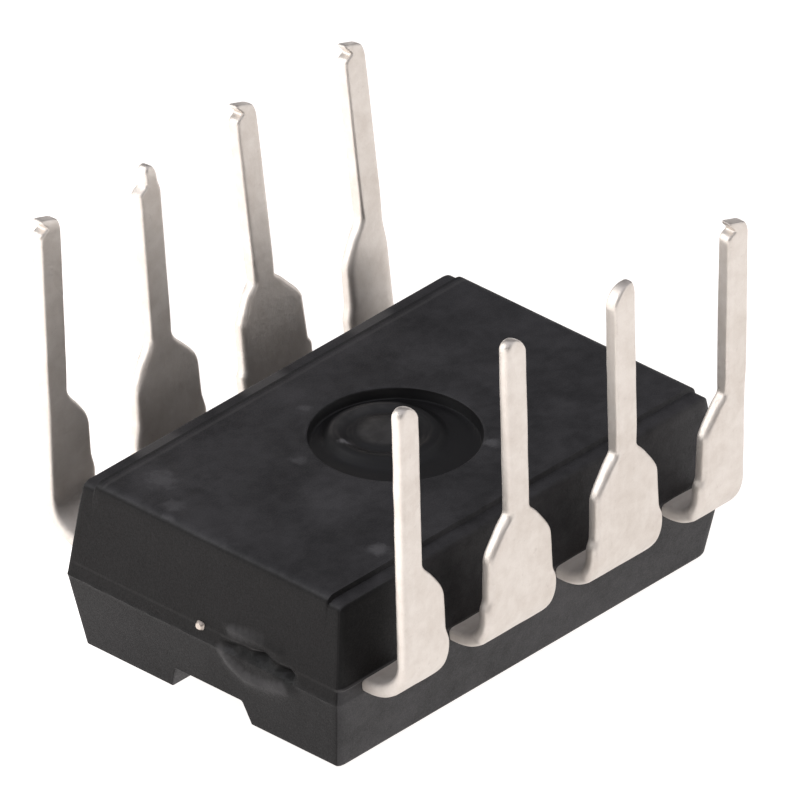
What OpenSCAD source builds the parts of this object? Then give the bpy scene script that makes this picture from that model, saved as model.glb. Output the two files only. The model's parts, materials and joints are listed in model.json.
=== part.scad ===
// Eight-pin dual in-line chip, lying on its marked face with its pins up.
// The origin is the centre of the marked face. The index notch is at the -X end.
// Seen from the marked face, pins count anticlockwise from the notch: 1 to 4 run along +Y, 5 to 8 along -Y.

/* [Moulded body] */
// Distance from one pin to the next along a row
pitch = 2.54; // [2:0.01:3.2]
// How far the body reaches past the middle of its corner pins
end_margin = 0.815; // [0.6:0.005:1.2]
// Width of the body at the parting line
body_w = 6.05; // [5:0.05:9]
// Height from the marked face to the parting line
marked_h = 1.4; // [1.1:0.05:1.7]
// Height from the parting line to the underside
under_h = 1.78; // [1.45:0.01:2.15]
// How far each wall draws in at the marked face
marked_inset = 0.23; // [0.1:0.01:0.35]
// How far each end wall draws in at the underside
under_end_inset = 0.25; // [0.1:0.01:0.35]
// How far each long wall draws in at the underside
under_side_inset = 0.16; // [0.05:0.01:0.3]
// Width of the step along both long edges of the underside
step_w = 0.3; // [0.1:0.01:0.5]
// Depth of that step
step_h = 0.08; // [0.03:0.01:0.2]

/* [Marks in the body] */
// Width of the index notch at the marked face
notch_w = 1.78; // [1:0.01:2.4]
// How far the index notch runs in from the end
notch_l = 0.9; // [0.5:0.05:1.4]
// Depth of the index notch
notch_h = 0.48; // [0.2:0.01:0.8]
// Draw-in of each side of the notch at its floor
notch_inset = 0.17; // [0:0.01:0.3]
// Diameter of the ejector mark in the underside
ejector_d = 2.86; // [1.6:0.02:3.4]
// Depth of the ejector mark
ejector_h = 0.2; // [0.05:0.01:0.25]
// Diameter of the raised ring inside the ejector mark
ring_d = 1.74; // [0.9:0.02:2.2]
// Width of that ring
ring_w = 0.16; // [0.05:0.01:0.3]
// How far the ring sits off the middle of the mark, towards pins 1 to 4
ring_shift = 0.22; // [0:0.01:0.25]
// Length of the broken gate scar at the notch end
gate_l = 1.7; // [0.8:0.05:2.2]
// Height of the gate scar
gate_h = 0.56; // [0.3:0.02:0.8]
// Centre of the gate scar, measured from the middle of the end
gate_y = -1.14; // [-1.6:0.02:-0.6]

/* [Leads] */
// Gap between the side of the body and the inner face of a straight leg
leg_gap = 0.71; // [0.4:0.01:1.2]
// Thickness of the lead strip
lead_t = 0.25; // [0.2:0.01:0.3]
// Width of the wide part of a lead
shoulder_w = 1.52; // [1.2:0.02:1.9]
// Width of a lead where it leaves the body
strip_w = 1.42; // [1:0.02:1.7]
// What is left of the dam bar on each side of a lead
nub_w = 0.07; // [0.02:0.01:0.12]
// Width of the thin tail of a lead
tail_w = 0.48; // [0.36:0.02:0.6]
// Inner radius of the bend
bend_r = 0.6; // [0.25:0.01:0.6]
// Height of the shoulders above the underside, where the chip would stop on a board
standoff = 0.74; // [0.4:0.01:1.2]
// Height over which the shoulder narrows to the tail
shoulder_h = 0.62; // [0.4:0.02:0.9]
// Length of the eight tails, pin 1 first
tail_l = [3.38, 3.2, 3.14, 3.14, 3.22, 3.12, 3.2, 3.16]; // [2.6:0.02:4.2]
// Outward splay of the eight legs, pin 1 first
splay = [2, 4.8, 7.5, 7.1, 1, -1, -1.2, -1.2]; // [-5:0.1:10]
// Sideways shift of the eight tails on their shoulders, pin 1 first
tail_shift = [0, -0.08, -0.08, -0.06, 0, 0, 0, 0]; // [-0.2:0.01:0.2]

/* [Inside the body] */
// Size of the silicon die
die = [2.2, 1.6, 0.3]; // [0.2:0.05:2.4]
// Thickness of the glue layer under the die
attach_t = 0.03; // [0.02:0.005:0.06]
// Margin of the die pad around the die
pad_margin = 0.3; // [0.1:0.05:0.4]
// Offset of the die pad from the plane of the leads
pad_drop = 0.2; // [0.1:0.01:0.25]
// Width of the tie bars that carried the die pad
tie_w = 0.36; // [0.25:0.01:0.5]
// Gap between the die pad and the inner fingers
finger_gap = 0.22; // [0.15:0.01:0.3]
// Width of an inner finger at its bonding end
finger_w = 0.6; // [0.4:0.02:0.8]
// Thickness of a bond wire
wire_d = 0.03; // [0.02:0.005:0.05]
// Height of the wire loops above the die
loop_h = 0.18; // [0.1:0.01:0.3]

/* [Hidden] */
LEADS = [for (pin = [1 : 8]) str("lead_", pin)];
WIRES = [for (pin = [1 : 8]) str("bond_wire_", pin)];

body_l = 3 * pitch + 2 * end_margin;
body_h = marked_h + under_h;
lead_z = marked_h;                         // marked side of the lead frame, flush with the parting line
lead_top = lead_z + lead_t;
pad_z = lead_z + pad_drop;                 // the pad is set back towards the underside
attach_z = pad_z - attach_t;
die_z = attach_z - die.z;                  // bonding face of the die
pad_l = die.x + 2 * pad_margin;
pad_w = die.y + 2 * pad_margin;
finger_y = pad_w / 2 + finger_gap;         // bonding ends of the middle leads
outer_finger_x = pad_l / 2 + finger_gap;   // bonding ends of the corner leads
inner_r = min(bend_r, leg_gap);            // the bend starts outside the body
bend_y = body_w / 2 + leg_gap - inner_r;   // centre line of the bend
bend_z = lead_top + inner_r;
shoulder_z = body_h + standoff;
leg_reach = 8 * lead_t;                    // how far a splayed leg may swing from its bend
tip_cut = tail_w / 4;                      // corner cut at the tip of a tail
nub_bottom = lead_top;                     // the dam bar ran across the leads at the bend
nub_top = bend_z + lead_t;
over = 1;                                  // how far cutting shapes run past a surface
gate_depth = 0.2;
gate_lip = 0.1;
ring_h = ejector_h / 2;
pad_edge = 0.2;                            // bond pads sit this far inside the die's edge
ball_d = 0.09;
ball_h = 0.03;
stitch_l = 0.12;                           // flat end of a wire on its finger

function row_side(pin) = pin <= 4 ? 1 : -1;
function column(pin) = pin <= 4 ? pin - 1 : 8 - pin;
function lead_x(pin) = (column(pin) - 1.5) * pitch;
function is_corner(pin) = column(pin) == 0 || column(pin) == 3;
function outward(pin) = sign(lead_x(pin));

// Reach of a lead from its middle, towards the end of the body and towards the middle of the row
function half_out(pin) = is_corner(pin) ? tail_w / 2 : strip_w / 2;
half_in = strip_w / 2;

// ---- Leads

// Side view of one bent strip, y outwards and z up
module bent_strip(angle, top) {
  leg_l = (top - bend_z) / cos(angle);
  translate([body_w / 2 - over, lead_z])
    square([bend_y - body_w / 2 + over, lead_t]);
  translate([bend_y, bend_z]) {
    intersection() {
      difference() {
        circle(inner_r + lead_t, $fn = 96);
        circle(inner_r, $fn = 96);
      }
      polygon([[0, 0], [0, -over], [over, -over], [over * cos(angle), -over * sin(angle)]]);
    }
    rotate(-angle) translate([inner_r, 0]) square([lead_t, leg_l]);
  }
}

// One wide edge of the front view, from the bend to the top of the shoulder, as [reach, height]
function wide_edge() = let (reach = shoulder_w / 2, knee = (reach + tail_w / 2) / 2) [
  [strip_w / 2, 0], [strip_w / 2, nub_bottom], [reach + nub_w, nub_bottom + 2 * nub_w],
  [reach + nub_w, nub_top - nub_w], [reach, nub_top], [reach, shoulder_z - shoulder_h],
  [knee, shoulder_z - shoulder_h / 4]
];

// Front view of a lead: wide edges where it has a shoulder, straight ones where it has none
module front_outline(wide_left, wide_right, shift, top) {
  half = tail_w / 2;
  right = wide_right ? wide_edge() : [[half, 0]];
  left = wide_left ? wide_edge() : [[half, 0]];
  polygon(concat(
    right,
    [[half + shift, shoulder_z], [half + shift, top - tip_cut], [half - tip_cut + shift, top],
     [tip_cut - half + shift, top], [shift - half, top - tip_cut], [shift - half, shoulder_z]],
    [for (i = [len(left) - 1 : -1 : 0]) [-left[i].x, left[i].y]]
  ));
}

// Plan of the finger inside the body, in a frame with the lead at x = 0 and the body's middle line at y = 0.
// The middle leads run straight to the pad, and the corner leads turn in to the ends of the pad.
module finger_plan(pin) {
  exit_y = body_w / 2;
  root_y = exit_y - lead_t;
  reach_out = half_out(pin);
  toward = -outward(pin);                  // direction of the middle of the row
  middle_x = abs(lead_x(pin));
  if (is_corner(pin)) {
    end_x = middle_x - outer_finger_x;     // from the lead's middle to the end of the finger
    polygon([
      [-toward * reach_out, exit_y], [toward * half_in, exit_y], [toward * half_in, finger_y],
      [toward * end_x, finger_y - finger_gap], [toward * end_x, finger_y - finger_gap - finger_w],
      [0, finger_y - finger_gap - finger_w], [-toward * reach_out, root_y]
    ]);
  } else {
    polygon([
      [-reach_out, exit_y], [reach_out, exit_y], [reach_out, root_y], [finger_w / 2, finger_y + finger_gap],
      [finger_w / 2, finger_y], [-finger_w / 2, finger_y], [-finger_w / 2, finger_y + finger_gap],
      [-reach_out, root_y]
    ]);
  }
}

module lead(pin) {
  wide_left = !(is_corner(pin) && outward(pin) < 0);
  wide_right = !(is_corner(pin) && outward(pin) > 0);
  top = shoulder_z + tail_l[pin - 1];
  color("gainsboro")
    translate([lead_x(pin), 0, 0])
      mirror([0, row_side(pin) < 0 ? 1 : 0, 0]) {
        intersection() {
          translate([-shoulder_w, 0, 0])
            rotate([90, 0, 90]) linear_extrude(2 * shoulder_w) bent_strip(splay[pin - 1], top);
          translate([0, body_w / 2 - lead_t / 2, 0])
            rotate([90, 0, 180]) mirror([1, 0, 0])
              linear_extrude(leg_gap + leg_reach) front_outline(wide_left, wide_right, tail_shift[pin - 1], top);
        }
        translate([0, 0, lead_z]) linear_extrude(lead_t) finger_plan(pin);
      }
}

// ---- Die pad, die and wires

// One tie bar from the pad to the end of the body, in side view
module tie_side() {
  slope_l = pad_drop;
  start = pad_l / 2;
  polygon([
    [start - lead_t, pad_z], [start, pad_z], [start + slope_l, lead_z], [body_l / 2, lead_z],
    [body_l / 2, lead_top], [start + slope_l, lead_top], [start, pad_z + lead_t], [start - lead_t, pad_z + lead_t]
  ]);
}

module die_pad() {
  color("silver") {
    translate([-pad_l / 2, -pad_w / 2, pad_z]) cube([pad_l, pad_w, lead_t]);
    intersection() {
      for (side = [0, 1])
        mirror([side, 0, 0])
          translate([0, tie_w / 2, 0]) rotate([90, 0, 0]) linear_extrude(tie_w) tie_side();
      body_outline();
    }
  }
}

module die_attach() {
  color("dimgray")
    translate([-die.x / 2, -die.y / 2, attach_z]) cube([die.x, die.y, attach_t]);
}

module die() {
  color("slategray")
    translate([-die.x / 2, -die.y / 2, die_z]) cube(die);
}

// Where a wire starts on the die and where it ends on its finger
function bond_x(pin) = outward(pin) * (is_corner(pin) ? die.x / 2 - pad_edge : die.x / 5);
function bond_y(pin) = row_side(pin) * (is_corner(pin) ? die.y / 4 : die.y / 2 - pad_edge);
function finger_x(pin) = is_corner(pin) ? outward(pin) * (outer_finger_x + stitch_l) : lead_x(pin) * 0.92;
function stitch_y(pin) = row_side(pin) * (is_corner(pin) ? finger_y - finger_gap - finger_w / 2
                                                         : finger_y + stitch_l);

// Side view of a wire: up from the ball, over the loop and down to the stitch
module wire_side(span) {
  rise = loop_h;
  drop = lead_z - die_z;
  knee = span * 0.35;
  polygon([
    [-wire_d / 2, 0], [-wire_d / 2, rise], [knee, rise], [span - stitch_l, wire_d - drop],
    [span, wire_d - drop], [span, -drop], [span - stitch_l - wire_d, -drop],
    [knee - wire_d / 2, rise - wire_d], [wire_d / 2, rise - wire_d], [wire_d / 2, 0]
  ]);
}

module bond_wire(pin) {
  dx = finger_x(pin) - bond_x(pin);
  dy = stitch_y(pin) - bond_y(pin);
  color("gold")
    translate([bond_x(pin), bond_y(pin), die_z])
      rotate([0, 0, atan2(dy, dx)]) mirror([0, 0, 1]) {
        translate([0, wire_d / 2, 0]) rotate([90, 0, 0]) linear_extrude(wire_d) wire_side(norm([dx, dy]));
        cylinder(d = ball_d, h = ball_h, $fn = 8);
      }
}

// ---- Moulded body

// Both profiles are symmetrical, so each is half a list of [reach, height] points and its mirror
function both_sides(half) = concat(half, [for (i = [len(half) - 1 : -1 : 0]) [-half[i].x, half[i].y]]);

module body_outline() {
  end_half = [
    [body_l / 2 - marked_inset, 0], [body_l / 2, marked_h], [body_l / 2 - under_end_inset, body_h]
  ];
  side_top = body_w / 2 - under_side_inset;
  side_half = [
    [body_w / 2 - marked_inset, 0], [body_w / 2, marked_h], [side_top, body_h - step_h],
    [side_top - step_w, body_h - step_h], [side_top - step_w, body_h]
  ];
  intersection() {
    translate([0, body_w / 2 + over, 0]) rotate([90, 0, 0])
      linear_extrude(body_w + 2 * over) polygon(both_sides(end_half));
    translate([-body_l / 2 - over, 0, 0]) rotate([90, 0, 90])
      linear_extrude(body_l + 2 * over) polygon(both_sides(side_half));
  }
}

// The notch is drafted in width and has rounded inner corners in plan
module notch_cut() {
  corner_r = notch_w / 4;
  floor_half = notch_w / 2 - notch_inset;
  start = -body_l / 2;
  inner = start + marked_inset + notch_l;
  intersection() {
    translate([start - over, 0, 0]) rotate([90, 0, 90])
      linear_extrude(body_l / 2) polygon(both_sides([
        [notch_w / 2 + notch_inset, -notch_h], [notch_w / 2, 0], [floor_half, notch_h]
      ]));
    translate([0, 0, -over]) linear_extrude(2 * over) {
      translate([start - over, -notch_w]) square([inner - corner_r - start + over, 2 * notch_w]);
      translate([start - over, corner_r - notch_w / 2]) square([inner - start + over, notch_w - 2 * corner_r]);
      for (side = [-1, 1])
        translate([inner - corner_r, side * (notch_w / 2 - corner_r)]) circle(corner_r, $fn = 64);
    }
  }
}

module ejector_cut() {
  groove_d = ring_d - 2 * ring_w;
  translate([0, 0, body_h - ejector_h])
    difference() {
      cylinder(d = ejector_d, h = ejector_h + over, $fn = 96);
      translate([0, ring_shift, 0]) difference() {
        cylinder(d = ring_d, h = ring_h, $fn = 96);
        cylinder(d = groove_d, h = ring_h, $fn = 96);
      }
    }
}

// The scar is a shallow spindle-shaped hollow along the parting line
module gate_cut() {
  radius = gate_h / 2;
  straight = gate_l - 2 * gate_h;
  translate([gate_depth - radius - body_l / 2, gate_y, marked_h + gate_lip])
    rotate([-90, 0, 0]) {
      cylinder(r = radius, h = straight, center = true, $fn = 48);
      for (side = [0, 1])
        mirror([0, 0, side]) translate([0, 0, straight / 2])
          cylinder(r1 = radius, r2 = radius / 4, h = gate_h, $fn = 48);
    }
}

module body() {
  color([0.2, 0.2, 0.21])
    difference() {
      body_outline();
      notch_cut();
      ejector_cut();
      gate_cut();
      for (pin = [1 : 8]) {
        lead(pin);
        bond_wire(pin);
      }
      die_pad();
      die_attach();
      die();
    }
}

body();
for (pin = [1 : 8]) {
  lead(pin);
  bond_wire(pin);
}
die_pad();
die_attach();
die();
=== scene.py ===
import json
import math
import bmesh
import bpy
from mathutils import Matrix, Vector, noise

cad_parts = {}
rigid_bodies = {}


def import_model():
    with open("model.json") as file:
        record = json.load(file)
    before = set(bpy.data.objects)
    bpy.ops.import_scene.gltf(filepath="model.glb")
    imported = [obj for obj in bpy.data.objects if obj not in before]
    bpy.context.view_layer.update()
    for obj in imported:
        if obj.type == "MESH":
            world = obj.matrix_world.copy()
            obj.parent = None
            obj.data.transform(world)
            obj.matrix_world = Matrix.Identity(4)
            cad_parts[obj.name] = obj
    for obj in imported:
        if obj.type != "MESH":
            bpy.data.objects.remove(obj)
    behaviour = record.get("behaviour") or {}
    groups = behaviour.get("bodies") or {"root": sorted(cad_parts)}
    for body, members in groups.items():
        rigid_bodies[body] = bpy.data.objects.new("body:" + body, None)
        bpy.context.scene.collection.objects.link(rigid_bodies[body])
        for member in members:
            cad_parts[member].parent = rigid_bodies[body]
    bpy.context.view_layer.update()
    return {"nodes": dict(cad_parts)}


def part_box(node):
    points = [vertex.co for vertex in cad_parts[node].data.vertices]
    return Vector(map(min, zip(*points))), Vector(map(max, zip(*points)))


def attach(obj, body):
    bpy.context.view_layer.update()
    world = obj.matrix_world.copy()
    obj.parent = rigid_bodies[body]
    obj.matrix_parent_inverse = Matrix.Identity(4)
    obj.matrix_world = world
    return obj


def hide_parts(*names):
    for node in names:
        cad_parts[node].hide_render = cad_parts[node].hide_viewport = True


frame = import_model()
nodes = frame["nodes"]
mm = 0.001                                     # shapes below are worked out in millimetres
print("CAD frame loaded:", len(nodes), "nodes")


def boxInMm(node):
    low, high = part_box(node)
    return low / mm, high / mm


def lerp(a, b, t):
    return a + (b - a) * t


def ease(value, low, high):
    t = min(1.0, max(0.0, (value - low) / (high - low)))
    return t * t * (3 - 2 * t)


def spaced(start, end, step):
    count = max(1, round(abs(end - start) / step))
    return [lerp(start, end, k / count) for k in range(count)]


def bump(value, centre, width):
    return math.exp(-((value - centre) / width) ** 2)


def fromTable(value, table):
    for (a, ra), (b, rb) in zip(table, table[1:]):
        if value <= b:
            return lerp(ra, rb, (max(value, a) - a) / (b - a)) if b > a else rb
    return table[-1][1]


def roughness(point, size, seed=0.0):
    return noise.noise(Vector(point) / size + Vector((seed, seed * 1.7, -seed)))


def makeObject(name, mesh, material, sharp=32):
    work = bmesh.new()
    work.from_mesh(mesh)
    bmesh.ops.remove_doubles(work, verts=work.verts, dist=2e-4)
    bmesh.ops.recalc_face_normals(work, faces=work.faces)
    for face in work.faces:
        face.smooth = True
    for edge in work.edges:
        edge.smooth = len(edge.link_faces) == 2 and edge.calc_face_angle(0) < math.radians(sharp)
    work.to_mesh(mesh)
    work.free()
    mesh.transform(Matrix.Scale(mm, 4))
    obj = bpy.data.objects.new(name, mesh)
    bpy.context.scene.collection.objects.link(obj)
    obj.data.materials.clear()
    obj.data.materials.append(material)
    return obj


def meshFrom(name, verts, faces):
    mesh = bpy.data.meshes.new(name)
    mesh.from_pydata([tuple(v) for v in verts], [], faces)
    mesh.update()
    return mesh


def addNode(tree, kind, **values):
    node = tree.nodes.new(kind)
    for key, value in values.items():
        if hasattr(node, key):
            setattr(node, key, value)
        else:
            node.inputs[key.replace("_", " ")].default_value = value
    return node


def mathNode(tree, operation, a, b=None, clamp=False):
    node = tree.nodes.new("ShaderNodeMath")
    node.operation = operation
    node.use_clamp = clamp
    for socket, value in zip(node.inputs, (a, b)):
        if value is None:
            continue
        if isinstance(value, (int, float)):
            socket.default_value = value
        else:
            tree.links.new(value, socket)
    return node.outputs[0]


def times(tree, a, b):
    return mathNode(tree, "MULTIPLY", a, b)


def plus(tree, a, b, clamp=False):
    return mathNode(tree, "ADD", a, b, clamp)


def larger(tree, a, b):
    return mathNode(tree, "MAXIMUM", a, b)


def distanceFrom(tree, value, middle):
    return mathNode(tree, "ABSOLUTE", mathNode(tree, "SUBTRACT", value, middle))


def splitXYZ(tree, vector):
    node = tree.nodes.new("ShaderNodeSeparateXYZ")
    tree.links.new(vector, node.inputs[0])
    return node.outputs


def joinXYZ(tree, **values):
    node = tree.nodes.new("ShaderNodeCombineXYZ")
    for axis, value in values.items():
        tree.links.new(value, node.inputs[axis.upper()])
    return node.outputs[0]


def measured(tree, operation, vector, other=None):
    # a length, a distance or a dot product, as one number
    node = addNode(tree, "ShaderNodeVectorMath", operation=operation)
    tree.links.new(vector, node.inputs[0])
    if other is not None:
        node.inputs[1].default_value = other
    return node.outputs["Value"]


def mixColour(tree, factor, a, b, blend="MIX"):
    node = tree.nodes.new("ShaderNodeMix")
    node.data_type = "RGBA"
    node.blend_type = blend
    for socket, value in ((node.inputs[0], factor), (node.inputs[6], a), (node.inputs[7], b)):
        if isinstance(value, (int, float)):
            socket.default_value = value
        elif isinstance(value, tuple):
            socket.default_value = (*value, 1)
        else:
            tree.links.new(value, socket)
    return node.outputs[2]


def mapRange(tree, value, low, high, toLow=0.0, toHigh=1.0):
    node = tree.nodes.new("ShaderNodeMapRange")
    node.interpolation_type = "SMOOTHSTEP"
    tree.links.new(value, node.inputs[0])
    for socket, number in zip(node.inputs[1:5], (low, high, toLow, toHigh)):
        socket.default_value = number
    return node.outputs[0]


def newGroup(name, inputs, outputs):
    tree = bpy.data.node_groups.new(name, "ShaderNodeTree")
    for label, kind, value in inputs:
        socket = tree.interface.new_socket(name=label, in_out="INPUT", socket_type=kind)
        socket.default_value = value
    for label, kind in outputs:
        tree.interface.new_socket(name=label, in_out="OUTPUT", socket_type=kind)
    return tree, tree.nodes.new("NodeGroupInput"), tree.nodes.new("NodeGroupOutput")


def noiseNode(tree, position, scale, detail=3.0, distortion=0.0):
    node = addNode(tree, "ShaderNodeTexNoise", Detail=detail, Distortion=distortion)
    tree.links.new(position, node.inputs["Vector"])
    if isinstance(scale, (int, float)):
        node.inputs["Scale"].default_value = scale
    else:
        tree.links.new(scale, node.inputs["Scale"])
    return node.outputs["Fac"]


def millimetrePosition(tree):
    place = tree.nodes.new("ShaderNodeTexCoord")
    scaled = addNode(tree, "ShaderNodeVectorMath", operation="SCALE")
    scaled.inputs["Scale"].default_value = 1 / mm
    tree.links.new(place.outputs["Object"], scaled.inputs[0])
    return scaled.outputs[0]


# fine grain of a spark-eroded or plated surface, with slow blotches over it
grainGroup, grainIn, grainOut = newGroup(
    "surfaceGrain",
    [("Position", "NodeSocketVector", (0, 0, 0)), ("Grain Scale", "NodeSocketFloat", 18.0),
     ("Blotch Scale", "NodeSocketFloat", 1.2)],
    [("Grain", "NodeSocketFloat"), ("Blotch", "NodeSocketFloat")])
fine = noiseNode(grainGroup, grainIn.outputs["Position"], grainIn.outputs["Grain Scale"], 4.0)
slow = noiseNode(grainGroup, grainIn.outputs["Position"], grainIn.outputs["Blotch Scale"], 3.0, 0.4)
grainGroup.links.new(fine, grainOut.inputs["Grain"])
grainGroup.links.new(mapRange(grainGroup, slow, 0.32, 0.68), grainOut.inputs["Blotch"])

# one spot with a ragged edge, round a place on the surface, for rubbed spots and for painted light, painted
# shade and a painted glint
raggedSpotGroup, raggedSpotIn, raggedSpotOut = newGroup(
    "raggedSpot",
    [("Position", "NodeSocketVector", (0, 0, 0)), ("Place", "NodeSocketVector", (0, 0, 0)),
     ("Size", "NodeSocketFloat", 0.2), ("Raggedness", "NodeSocketFloat", 1.0)],
    [("Mask", "NodeSocketFloat")])
reach = addNode(raggedSpotGroup, "ShaderNodeVectorMath", operation="DISTANCE")
raggedSpotGroup.links.new(raggedSpotIn.outputs["Position"], reach.inputs[0])
raggedSpotGroup.links.new(raggedSpotIn.outputs["Place"], reach.inputs[1])
ragged = noiseNode(raggedSpotGroup, raggedSpotIn.outputs["Position"], 6.0, 3.0, 0.6)
ragged = times(raggedSpotGroup, mathNode(raggedSpotGroup, "SUBTRACT", ragged, 0.5), raggedSpotIn.outputs["Raggedness"])
relative = mathNode(raggedSpotGroup, "DIVIDE", reach.outputs["Value"], raggedSpotIn.outputs["Size"])
relative = plus(raggedSpotGroup, relative, times(raggedSpotGroup, ragged, 3.0))
raggedSpotGroup.links.new(mapRange(raggedSpotGroup, relative, 1.1, 0.3), raggedSpotOut.inputs["Mask"])

# long fine drawing or wiping lines along one direction
streakGroup, streakIn, streakOut = newGroup(
    "fineStreaks",
    [("Position", "NodeSocketVector", (0, 0, 0)), ("Stretch", "NodeSocketVector", (1, 1, 1))],
    [("Streak", "NodeSocketFloat")])
stretched = addNode(streakGroup, "ShaderNodeVectorMath", operation="MULTIPLY")
streakGroup.links.new(streakIn.outputs["Position"], stretched.inputs[0])
streakGroup.links.new(streakIn.outputs["Stretch"], stretched.inputs[1])
streakGroup.links.new(noiseNode(streakGroup, stretched.outputs[0], 1.0, 3.0), streakOut.inputs["Streak"])


def useGroup(tree, group, **links):
    node = tree.nodes.new("ShaderNodeGroup")
    node.node_tree = group
    for key, value in links.items():
        socket = node.inputs[key.replace("_", " ")]
        if isinstance(value, (int, float, tuple)):
            socket.default_value = value
        else:
            tree.links.new(value, socket)
    return node


def newMaterial(name, **values):
    material = bpy.data.materials.new(name)
    material.use_nodes = True
    tree = material.node_tree
    shader = tree.nodes["Principled BSDF"]
    for key, value in values.items():
        shader.inputs[key.replace("_", " ")].default_value = value
    return material, tree, shader


def bumpInto(tree, shader, height, strength, distance):
    node = addNode(tree, "ShaderNodeBump", Strength=strength)
    node.inputs["Distance"].default_value = distance * mm
    tree.links.new(height, node.inputs["Height"])
    tree.links.new(node.outputs[0], shader.inputs["Normal"])


# values of the moulded body, which its mesh and its material share
bodyHigh = boxInMm("body")[1]
halfLength = bodyHigh.x
halfWidth = bodyHigh.y
bodyHeight = bodyHigh.z
pitch = 2.54                                   # from one pin to the next

bodyShape = {
    "markedHeight": 1.4, "markedInset": 0.23, "underEndInset": 0.25, "underSideInset": 0.16,
    "stepWidth": 0.3, "stepDepth": 0.08, "stepFrom": 2.6,            # the step bends heights above this
    "endRound": 0.2, "sideRound": 0.07, "topRound": 0.12, "markedRound": 0.07,   # edge radii along x, y and z
    "flashHeight": 1.65, "flashOut": 0.03, "partingOut": 0.018,        # fins on the long walls and the ends
    "waviness": 0.004,
}
gateScar = {"lipOut": 0.06, "grooveDepth": 0.07, "pitDepth": 0.12, "upperOut": 0.03, "fracture": 0.04}
# y and z along the gate's lip, and along the break above it
lipLine = [(-2.1, 1.36), (-1.8, 1.2), (-1.4, 1.07), (-0.95, 1.04), (-0.6, 1.22), (-0.38, 1.4)]
grooveLine = [(-2.15, 1.44), (-1.9, 1.5), (-1.25, 1.55), (-0.6, 1.5), (-0.3, 1.46)]
ejectorShape = {"radius": 1.43, "depth": 0.2, "rim": 0.03, "ringRadius": 0.87, "ringWidth": 0.17,
                "ringHeight": 0.12, "bossRadius": 0.55, "bossHeight": 0.09, "ringAt": (0.08, 0.31)}


def gateLightPlaces():
    # painted light along the gate's lip and above the break, where these face up: y, z, size in mm and
    # strength
    places = []
    for k in range(12):
        y = -0.45 - 0.12 * k
        places.append((y, fromTable(y, lipLine) + 0.03, 0.17, 0.3))
    return places + [(-0.66 - 0.14 * k, 1.81 + 0.02 * k, 0.17, 0.3 - 0.05 * k) for k in range(5)]


def pitShadePlaces():
    # painted shade in the pits of the break: y, z and size in mm
    pitShade = [(-1.25, 1.5, 0.2), (-1.9, 1.42, 0.17)]
    return pitShade + [(-0.66 - 0.2 * k, 1.55 - 0.02 * k, 0.13) for k in range(6)]


# the first two colours are the mould's own tones, the third is rubbed wear that also paints one glint, and
# the rest are painted shade and painted light
mouldLook = {
    "dark": (0.007, 0.0066, 0.0075), "light": (0.036, 0.0345, 0.037), "rubbedAndGlint": (0.12, 0.117, 0.122),
    "markFloorShade": (0.0075, 0.0073, 0.0078), "broken": (0.1, 0.097, 0.1), "paintedLight": (0.085, 0.081, 0.08),
    "paintedShade": (0.002, 0.002, 0.002), "endShadeColour": (0.0026, 0.002, 0.002),
    "roughLow": 0.5, "roughHigh": 0.68, "floorRough": 0.36, "gloss": 0.4, "glossLoss": 0.22,
    "wallShadeAmount": 0.85, "endShadeAmount": 0.9, "pitShadeAmount": 0.97, "ledgeLightAmount": 0.8, "flashHighlightAmount": 0.5,
}
rubbedSpotsAndGlint = [                               # rubbed spots on the underside, and one painted glint on the ejector ring: x, y, size in mm and strength
    (-3.56, 1.87, 0.34, 0.35), (-4.02, 1.2, 0.24, 0.3), (-4.35, 1.0, 0.18, 0.3), (-2.75, -2.2, 0.22, 0.5),
    (0.87, -1.35, 0.16, 0.5), (-0.42, 1.63, 0.14, 0.35), (-1.65, 0.6, 0.16, 0.3), (-3.0, 0.9, 0.5, 0.12),
    # the last spot here, at -0.6, 0.55, is a painted glint on the ejector ring
    (-2.2, -0.6, 0.55, 0.1), (1.9, 1.2, 0.6, 0.1), (-0.3, 2.1, 0.4, 0.12), (-0.6, 0.55, 0.17, 0.9),
]
ledgeLightLines = [(2.41, 0.05, 0.3, "paintedLight"), (2.53, 0.06, 0.7, "paintedShade")]      # painted highlight and painted shade along the ledge's edge: y, width, strength and tint


def mixedTone(tree, grain, small, streak, share):
    # slow blotches, small blotches and streaks together
    tone = times(tree, grain.outputs["Blotch"], share)
    tone = plus(tree, tone, times(tree, small.outputs["Blotch"], 0.3))
    return plus(tree, tone, times(tree, streak.outputs["Streak"], 0.3), True)


def rubbedAndGlintMask(tree, place):
    mask = 0.0
    for x, y, size, strength in rubbedSpotsAndGlint:
        spot = useGroup(tree, raggedSpotGroup, Position=place, Place=(x, y, bodyHeight), Size=size, Raggedness=0.5)
        mask = larger(tree, times(tree, spot.outputs["Mask"], strength), mask)
    return mask


def wallShadeMasks(tree, at, facing):
    # painted shade: the wall of pins 5 to 8 is darkened above the leads, most of all near the notch, and so
    # is the notch end, a little less below the parting line
    paintedShade = times(tree, mapRange(tree, facing["Y"], -0.5, -0.85), mapRange(tree, at["Z"], 1.62, 1.7))
    paintedShade = times(tree, paintedShade, mapRange(tree, at["X"], -3.6, -2.6, 1.0, 0.1))
    endShade = mapRange(tree, facing["X"], -0.5, -0.85)
    return paintedShade, times(tree, endShade, mapRange(tree, at["Z"], 1.38, 1.48, 0.82, 1.0))


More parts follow.
